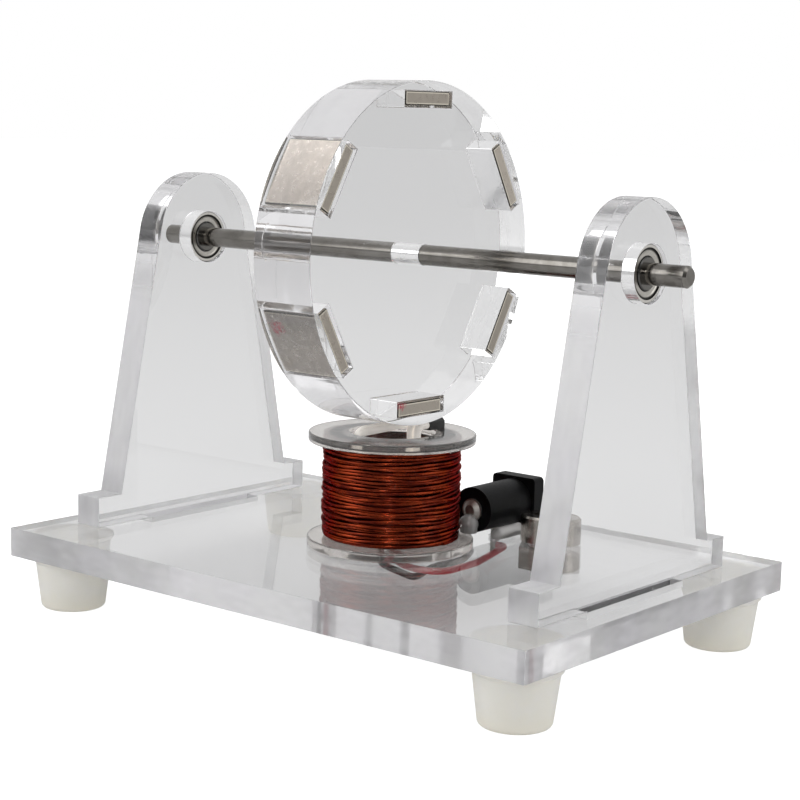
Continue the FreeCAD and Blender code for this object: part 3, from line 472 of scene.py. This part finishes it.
def metal(name, color, dark, rough, spread, stretch=(1.0, 1.0, 1.0)):
    m = Finish(name)
    place = m.place()
    lines = m.noise(place * stretch, groundPlan["grain"], 3.0, 0.6)
    patch = m.noise(place, groundPlan["patch"], 3.0)
    return m.done(m.principled(
        Base_Color=m.mix(patch.ramp(0.35, 0.7), color, dark), Metallic=1.0,
        Roughness=lines * spread + (rough - spread / 2), Normal=m.bump(lines, groundPlan["depth"])))


def ringSteel(name, face, wall):
    # a ring's ground faces are its own pale steel, and its walls are dark with painted shade; the inner
    # ring's faces carry painted shade too
    m = Finish(name)
    lines = m.noise(m.place(), groundPlan["grain"], 3.0, 0.6)
    flat = abs(m.normal().dot(alongShaft)).ramp(0.6, 0.9)
    return m.done(m.principled(
        Base_Color=m.mix(flat, wall, face), Metallic=1.0,
        Roughness=lines * ringPlan["spread"] + ringPlan["rough"],
        Normal=m.bump(lines, groundPlan["depth"])))


def shieldSteel(name):
    # a pressed shield, bright in the middle and shaded in its seat and at the bore
    plan = shieldPlan
    low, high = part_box("left_bearing_outer_shield")
    radius = (high.z - low.z) / 2
    axis = (0.0, 0.0, (high.z + low.z) / 2)
    m = Finish(name)
    place = m.place()
    reach = ((place - axis) * acrossShaft).length()
    rim = reach.ramp(radius * plan["rimShade"][0], radius * plan["rimShade"][1])
    bore = reach.ramp(radius * plan["boreShade"][0], radius * plan["boreShade"][1], 1.0, 0.0)
    streak = m.noise(place, plan["streak"], 3.0, 0.6)
    pressed = m.mix(streak, plan["color"], plan["dark"])
    return m.done(m.principled(
        Base_Color=m.mix(rim.top(bore), pressed, plan["shade"]), Metallic=1.0,
        Roughness=streak * plan["spread"] + plan["rough"], Normal=m.bump(streak, plan["depth"])))


metals = {name: metal(name, **finish) for name, finish in metalPlan.items()}
outerSteel = ringSteel("outerRingSteel", ringPlan["outerFace"], ringPlan["outerWallShade"])
shadedInnerSteel = ringSteel("innerRingShadedSteel", ringPlan["innerFace"], ringPlan["innerWallShade"])
shield = shieldSteel("shieldSteel")
for side in ("left", "right"):
    dress(outerSteel, side + "_bearing_outer_ring")
    dress(shadedInnerSteel, side + "_bearing_inner_ring")
    dress(shield, side + "_bearing_outer_shield", side + "_bearing_inner_shield")
    dress(metals["cageSteel"], side + "_bearing_cage")
    dress(metals["ballSteel"], side + "_bearing_balls")
dress(metals["shaftSteel"], "shaft")
dress(metals["brightNickel"], "cap_screw", "hex_nut")
dress(metals["dullNickel"], "socket_center_pin", "socket_lug", "socket_spring_contact")


# nickel-plated magnets with marker strokes that show their poles

magnetPlan = {
    "color": rgb(0.66, 0.60, 0.53),
    "dull": rgb(0.55, 0.50, 0.435),
    # painted shade: the end faces are painted darker than the walls
    "end": rgb(0.36, 0.325, 0.28),
    "paleShadedEnd": rgb(0.43, 0.39, 0.34),
    # painted shade in a dark outline along each edge, then a painted highlight in a cream band
    "outline": rgb(0.05, 0.045, 0.04),
    "edgeHighlightCream": rgb(0.85, 0.80, 0.68),
    "edge": 0.22 * mm,
    "highlightBandEdge": 0.352 * mm,
    "mottle": 0.9 * mm,
    "mottleDepth": 0.01 * mm,
    "spot": 0.25 * mm,
    "rough": (0.2, 0.38),
    "spotRough": 0.08,
    "lightTones": {30: 1.15, 150: 1.16, 210: 0.68},  # painted light and shade of the blocks at these angles: the upper ones lighter, the lower one darker
    "endLightTones": {30: 1.3, 330: 0.88},
}

penPlan = {
    "color": rgb(0.50, 0.01, 0.06),
    "size": 1.5 * mm,
    "scrawl": 1.1 * mm,
    "reach": 3 * mm,
    "wear": 0.5 * mm,
    "cover": (0.15, 0.9),
    "gloss": 0.8,  # how much less metallic the ink is
    # the block's angle, 1 on its outer or -1 on its inner face, then along the shaft and
    # across it, in shares of half a block
    "marks": ((210, 1, -0.62, -0.5), (30, -1, -0.6, 0.2), (270, -1, 0.92, -0.85)),
}


def spokeAt(angle):
    turn = math.radians(angle)
    return Vector((0.0, math.cos(turn), math.sin(turn)))


def blockLightShade(place, lightTones, middle):
    # painted light and shade: 1 everywhere but on the blocks at the given angles, each of which has a tone
    # of its own, lighter above and darker below
    tone = 1.0
    for angle, share in lightTones.items():
        reach = place.dot(tuple(spokeAt(angle)))
        tone = reach.ramp(0.8 * middle, 0.9 * middle) * (share - 1) + tone
    return tone


def fromBlockEdge(m, place, half, middle, thick):
    # the gap to a block's nearest edge, in one frame that all six blocks fold into
    out = None
    for index in range(6):
        reach = place.dot(tuple(spokeAt(90 + 60 * index)))
        out = out.top(reach) if out else reach
    radius = (place * acrossShaft).length()
    along = m.node("Math", {"operation": "SQRT"}, {0: radius * radius - out * out})
    sideGap = half - along
    endGap = half - abs(place.dot(alongShaft))
    faceGap = thick - abs(out - middle)
    return sideGap.least(endGap).top(sideGap.top(endGap).least(faceGap))


def penMarks(m, place, half, middle, thick):
    plan = penPlan
    scrawl = m.noise(place, plan["scrawl"], 4.0, 0.7) - 0.5
    worn = m.noise(place, plan["wear"], 3.0).ramp(0.4, 0.6, *plan["cover"])
    ink = None
    for angle, outward, side, across in plan["marks"]:
        spoke = spokeAt(angle)
        tangent = Vector((0.0, -spoke.z, spoke.y))
        point = spoke * (middle + outward * thick) + tangent * across * half
        point.x = side * half
        near = (place - tuple(point)).length() + scrawl * plan["reach"]
        mark = near.ramp(0.5 * plan["size"], plan["size"], 1.0, 0.0)
        ink = ink.top(mark) if ink else mark
    return ink * worn


def magnetNickel():
    plan = magnetPlan
    low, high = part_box("magnet_2")  # the topmost block
    half = (high.y - low.y) / 2
    middle = (high.z + low.z) / 2 - shaftHeight
    thick = (high.z - low.z) / 2
    m = Finish("magnetNickel")
    place = m.place() - (0.0, 0.0, shaftHeight)
    fromEdge = fromBlockEdge(m, place, half, middle, thick)
    ink = penMarks(m, place, half, middle, thick)
    mottle = m.noise(place, plan["mottle"], 5.0, 0.65)
    spots = m.noise(place, plan["spot"], 2.0)
    end = abs(m.normal().dot(alongShaft)).ramp(0.6, 0.9)
    walls = m.mix(mottle.ramp(0.35, 0.65), plan["color"], plan["dull"])
    # painted shade on the end faces, and painted light and shade per block
    ends = m.mix(mottle, plan["end"], plan["paleShadedEnd"])
    walls = walls * blockLightShade(place, plan["lightTones"], middle)
    ends = ends * blockLightShade(place, plan["endLightTones"], middle)
    body = m.mix(end, walls, ends)
    # painted highlight in a cream band inside the edge, then painted shade in a dark outline at it
    body = m.mix(fromEdge.ramp(plan["edge"], plan["highlightBandEdge"], 1.0, 0.0), body, plan["edgeHighlightCream"])
    body = m.mix(fromEdge.ramp(0.5 * plan["edge"], plan["edge"], 1.0, 0.0), body, plan["outline"])
    return m.done(m.principled(
        Base_Color=m.mix(ink, body, penPlan["color"]), Metallic=1 - ink * penPlan["gloss"],
        Roughness=mottle.ramp(0.3, 0.7, *plan["rough"]) + spots * plan["spotRough"],
        Normal=m.bump(mottle, plan["mottleDepth"], 0.6)))


dress(magnetNickel(), *[f"magnet_{index}" for index in range(1, 7)])
print("metals")


# plastics

plasticPlan = {
    "bobbinPlastic": {
        "color": rgb(0.92, 0.88, 0.845), "speckle": rgb(0.88, 0.84, 0.805),
        "rough": 0.09, "depth": 0.004 * mm, "Transmission_Weight": 0.93, "IOR": 1.5},
    "blackMoulding": {
        "color": grey(0.003), "speckle": rgb(0.004, 0.004, 0.005),
        "rough": 0.45, "depth": 0.01 * mm, "Specular_IOR_Level": 0.1},
    "sensorResin": {
        "color": grey(0.014), "speckle": grey(0.02),
        "rough": 0.5, "depth": 0.01 * mm, "size": 0.12 * mm},
    "glowingWhiteSleeve": {
        "color": rgb(0.95, 0.92, 0.87), "speckle": rgb(0.90, 0.87, 0.81),
        "rough": 0.5, "depth": 0.01 * mm,
        # painted light: a faint warm glow lifts the sleeves where the disc and flange shade them
        "Emission_Color": rgb(1.0, 0.93, 0.86), "Emission_Strength": 0.28},
    "cloudyGlue": {
        "color": rgb(0.95, 0.93, 0.91), "speckle": rgb(0.91, 0.89, 0.87),
        "rough": 0.16, "depth": 0.002 * mm, "size": 0.8 * mm,
        "Subsurface_Weight": 0.3, "Subsurface_Scale": 0.4 * mm,
        "Subsurface_Radius": (1.0, 1.0, 1.0), "Transmission_Weight": 0.72, "IOR": 1.48},
    "redInsulation": {
        "color": rgb(0.60, 0.02, 0.04), "speckle": rgb(0.50, 0.02, 0.03),
        "rough": 0.35, "depth": 0.01 * mm},
    "blackInsulation": {
        "color": grey(0.02), "speckle": grey(0.03), "rough": 0.35, "depth": 0.01 * mm},
}

plasticPieces = {
    "bobbinPlastic": ["coil_bobbin"],
    "blackMoulding": ["socket_housing"],
    "sensorResin": ["hall_sensor"],
    "glowingWhiteSleeve": ["sensor_leads"],
    "cloudyGlue": ["joint_glue", "socket_glue"],
    "redInsulation": ["red_lead"],
    "blackInsulation": ["black_lead"],
}


def plastic(name, color, speckle, rough, depth, size=0.2 * mm, **more):
    # patches are a dozen grains wide, and whatever else is given goes to the shader
    m = Finish(name)
    place = m.place()
    grain = m.noise(place, size, 3.0)
    patch = m.noise(place, 12 * size, 2.0)
    return m.done(m.principled(
        Base_Color=m.mix(patch.ramp(0.4, 0.65), color, speckle),
        Roughness=grain.ramp(0.3, 0.7, rough - 0.06, rough + 0.06),
        Normal=m.bump(grain, depth, 0.5), **more))


for name, finish in plasticPlan.items():
    dress(plastic(name, **finish), *plasticPieces[name])


# enamelled copper wire

enamelPlan = {
    "color": rgb(0.26, 0.036, 0.010),
    "dark": rgb(0.10, 0.010, 0.004),
    "glance": rgb(0.45, 0.12, 0.07),
    "streak": 3 * mm,
    "squash": (1.0, 1.0, 4.0),
    "rough": (0.2, 0.34),
    "coat": 0.08,
    "coatRough": 0.08,
    "coatIndex": 1.55,
}


def enamel():
    plan = enamelPlan
    m = Finish("copperEnamel")
    streak = m.noise(m.place() * plan["squash"], plan["streak"], 3.0)
    return m.done(m.principled(
        Base_Color=m.mix(streak.ramp(0.35, 0.65), plan["color"], plan["dark"]), Metallic=1.0,
        Roughness=streak.ramp(0.3, 0.7, *plan["rough"]), Specular_Tint=plan["glance"],
        Coat_Weight=plan["coat"], Coat_Roughness=plan["coatRough"], Coat_IOR=plan["coatIndex"]))


enamelled = enamel()
dress(enamelled, "coil_leads")
print("plastics and enamel")


# coil winding: two layers of turns over a wound core

windingPlan = {
    "layers": 2,
    "wireRadius": 0.25 * mm,
    "wireSides": 10,
    "pitch": 0.50 * mm,
    "stepsPerTurn": 72,
    "layerStep": 0.42 * mm,
    "coreRadius": 7.47 * mm,
    "coreSides": 96,
    "wander": 0.20 * mm,  # how far a turn strays up and down, and then inwards
    "rise": 0.16 * mm,
    "ringScale": 1.3,  # how fast it strays round a turn, and from turn to turn
    "laneScale": 0.73,
    "liftScale": 2.1,
    "outRingScale": 0.9,
    "outLaneScale": 2.9,
    "outGain": 2.2,
    "shiftRange": 50,
    "seed": 7,
}


def windingLayer(plan, low, high, radius, seed):
    # one continuous helix whose turns wander up, down and inwards
    wire = plan["wireRadius"]
    turns = (high - low - 2 * wire) / plan["pitch"]
    count = int(turns * plan["stepsPerTurn"])
    draw = random.Random(seed)
    shift = Vector((draw.uniform(0, plan["shiftRange"]), draw.uniform(0, plan["shiftRange"]), 0))
    points = []
    for step in range(count + 1):
        turn = step / plan["stepsPerTurn"]
        angle = 2 * math.pi * turn
        ring = Vector((math.cos(angle), math.sin(angle), 0)) * plan["ringScale"]
        lane = Vector((0, 0, round(turn, 3) * plan["laneScale"]))
        lift = noise.noise(ring + lane * plan["liftScale"] + shift)
        out = noise.noise(ring * plan["outRingScale"] + lane * plan["outLaneScale"] - shift)
        ends = min(1.0, turn, turns - turn)
        height = low + wire + plan["pitch"] * turn + plan["wander"] * lift * 2 * ends
        stray = max(-1.0, min(1.0, out * plan["outGain"]))
        reach = radius - wire - plan["rise"] + plan["rise"] * stray
        points.append(Vector((reach * math.cos(angle), reach * math.sin(angle), height)))
    return points


def wireMesh(name, points, radius, sides):
    curve = bpy.data.curves.new(name, "CURVE")
    curve.dimensions = "3D"
    spline = curve.splines.new("POLY")
    spline.points.add(len(points) - 1)
    for knot, point in zip(spline.points, points):
        knot.co = (*point, 1.0)
    curve.bevel_depth = radius
    curve.bevel_resolution = sides // 2 - 2
    curve.use_fill_caps = True
    wire = bpy.data.objects.new(name, curve)
    bpy.context.scene.collection.objects.link(wire)
    bpy.ops.object.select_all(action="DESELECT")
    wire.select_set(True)
    bpy.context.view_layer.objects.active = wire
    bpy.ops.object.convert(target="MESH")
    bpy.ops.object.shade_smooth()
    return bpy.context.active_object


def ringMesh(name, inner, outer, low, high, sides):
    # a wound block: a tube whose inner wall is bridged from two inset caps
    bpy.ops.object.select_all(action="DESELECT")
    bpy.ops.mesh.primitive_cylinder_add(
        vertices=sides, radius=outer, depth=high - low, location=(0, 0, (low + high) / 2))
    ring = bpy.context.active_object
    ring.name = name
    bpy.ops.object.transform_apply(location=True, rotation=True, scale=True)
    bpy.ops.object.mode_set(mode="EDIT")
    bpy.ops.mesh.select_mode(type="FACE")
    bpy.ops.mesh.select_all(action="DESELECT")
    bpy.ops.object.mode_set(mode="OBJECT")
    for face in ring.data.polygons:
        face.select = abs(face.normal.z) > 0.9
    bpy.ops.object.mode_set(mode="EDIT")
    bpy.ops.mesh.inset(thickness=outer - inner, depth=0, use_individual=True)
    bpy.ops.mesh.bridge_edge_loops()
    bpy.ops.object.mode_set(mode="OBJECT")
    return ring


def coilWinding(plan):
    low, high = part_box("coil_winding")
    outer = high.x
    pieces = []
    for layer in range(plan["layers"]):
        radius = outer - layer * plan["layerStep"]
        points = windingLayer(plan, low.z, high.z, radius, plan["seed"] + layer)
        if layer % 2:  # every second layer is wound the other way
            points = [Vector((point.x, -point.y, point.z)) for point in points]
        sides = plan["wireSides"] - 2 * layer  # hidden layers are plainer
        pieces.append(wireMesh(f"windingLayer{layer}", points, plan["wireRadius"], sides))
    inside = outer - plan["layers"] * plan["layerStep"] - plan["wireRadius"]
    pieces.append(ringMesh("windingCore", plan["coreRadius"], inside, low.z, high.z, plan["coreSides"]))
    bpy.ops.object.select_all(action="DESELECT")
    for piece in pieces:
        piece.select_set(True)
    bpy.context.view_layer.objects.active = pieces[0]
    bpy.ops.object.join()
    winding = bpy.context.active_object
    winding.name = "woundCoil"
    winding.data.materials.clear()
    winding.data.materials.append(enamelled)
    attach(winding, "root")
    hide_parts("coil_winding")


coilWinding(windingPlan)
print("winding")


# floor, lights and surroundings

studioPlan = {
    "floorSize": 6.0,
    "floorShade": 0.42,
    "floorSpeck": 0.44,
    "speckSize": 0.3,
    "floorRough": 0.9,
    "floorGlow": 0.30,
    "straightGlow": 0.55,  # what is added where the floor is looked at straight
    "backdrop": 0.80,
    "horizon": 0.62,
    "riseTo": 0.3,
    "viewerSide": 0.25,
    "viewerHeight": math.radians(10),
    "viewerSpread": (0.45, 0.95),
    "bounces": 24,
    "glossyBounces": 16,
}

lampPlan = {
    "softboxLeft": {"azimuth": -30, "elevation": 30, "distance": 0.7, "size": (0.35, 0.5), "power": 1.1},
    "softboxRight": {"azimuth": 105, "elevation": 30, "distance": 0.7, "size": (0.45, 0.6), "power": 0.85},
    "softboxTop": {"azimuth": 20, "elevation": 80, "distance": 0.7, "size": (0.5, 0.5), "power": 1.0},
    "frontLamp": {"azimuth": 36, "elevation": 26, "distance": 0.6, "size": (0.05, 0.05), "power": 0.35},
}


def addFloor(plan):
    # a pale table: looked at straight it is white, and in the object it shows light grey
    bpy.ops.object.select_all(action="DESELECT")
    bpy.ops.mesh.primitive_plane_add(size=plan["floorSize"], location=(0, 0, 0))
    floor = bpy.context.active_object
    floor.name = "floor"
    m = Finish("paleTable")
    speck = m.noise(m.place(), plan["speckSize"], 2.0)
    shade = m.principled(
        Base_Color=m.mix(speck, grey(plan["floorShade"]), grey(plan["floorSpeck"])),
        Roughness=plan["floorRough"], Emission_Color=grey(1.0), Emission_Strength=plan["floorGlow"])
    glow = m.node("Emission", {}, {"Color": grey(1.0), "Strength": plan["straightGlow"]})
    straight = m.node("AddShader", {}, {0: shade, 1: glow})
    seen = m.node("LightPath").output("Is Camera Ray")
    floor.data.materials.append(m.done(m.node("MixShader", {}, {0: seen, 1: shade, 2: straight})))


def addWorld(plan):
    # a pale backdrop that meets the floor in one tone, and a dark room on the viewer's side
    world = bpy.data.worlds.new("studio")
    bpy.context.scene.world = world
    m = Finish("studio", world)
    heading = m.node("TexCoord").output("Generated")
    viewer = tuple(backwards(cameraPlan["azimuth"], plan["viewerHeight"]))
    rise = heading.dot(upward).ramp(0.0, plan["riseTo"])
    behind = rise * (plan["backdrop"] - plan["horizon"]) + plan["horizon"]
    room = heading.dot(viewer).ramp(*plan["viewerSpread"], 1.0, plan["viewerSide"])
    seen = m.node("LightPath").output("Is Camera Ray")
    night = m.node("Background", {}, {"Color": grey(0.0), "Strength": 1.0})
    day = m.node("Background", {}, {"Color": grey(1.0), "Strength": 1.0})
    sky = m.node("MixShader", {}, {0: seen.top(behind * room), 1: night, 2: day})
    m.node("OutputWorld", {}, {"Surface": sky})


def addLamp(name, azimuth, elevation, distance, size, power):
    data = bpy.data.lights.new(name, "AREA")
    data.shape = "RECTANGLE"
    data.size, data.size_y = size
    data.energy = power
    lamp = bpy.data.objects.new(name, data)
    bpy.context.scene.collection.objects.link(lamp)
    back = backwards(math.radians(azimuth), math.radians(elevation))
    lamp.location = cameraPlan["target"] + back * distance
    lamp.rotation_euler = back.to_track_quat("Z", "Y").to_euler()


addFloor(studioPlan)
addWorld(studioPlan)
for name, lamp in lampPlan.items():
    addLamp(name, **lamp)
cycles = bpy.context.scene.cycles
cycles.max_bounces = studioPlan["bounces"]
cycles.transmission_bounces = studioPlan["bounces"]
cycles.glossy_bounces = studioPlan["glossyBounces"]
bpy.context.scene.view_settings.view_transform = "Standard"
bpy.context.scene.view_settings.look = "None"
print("studio")
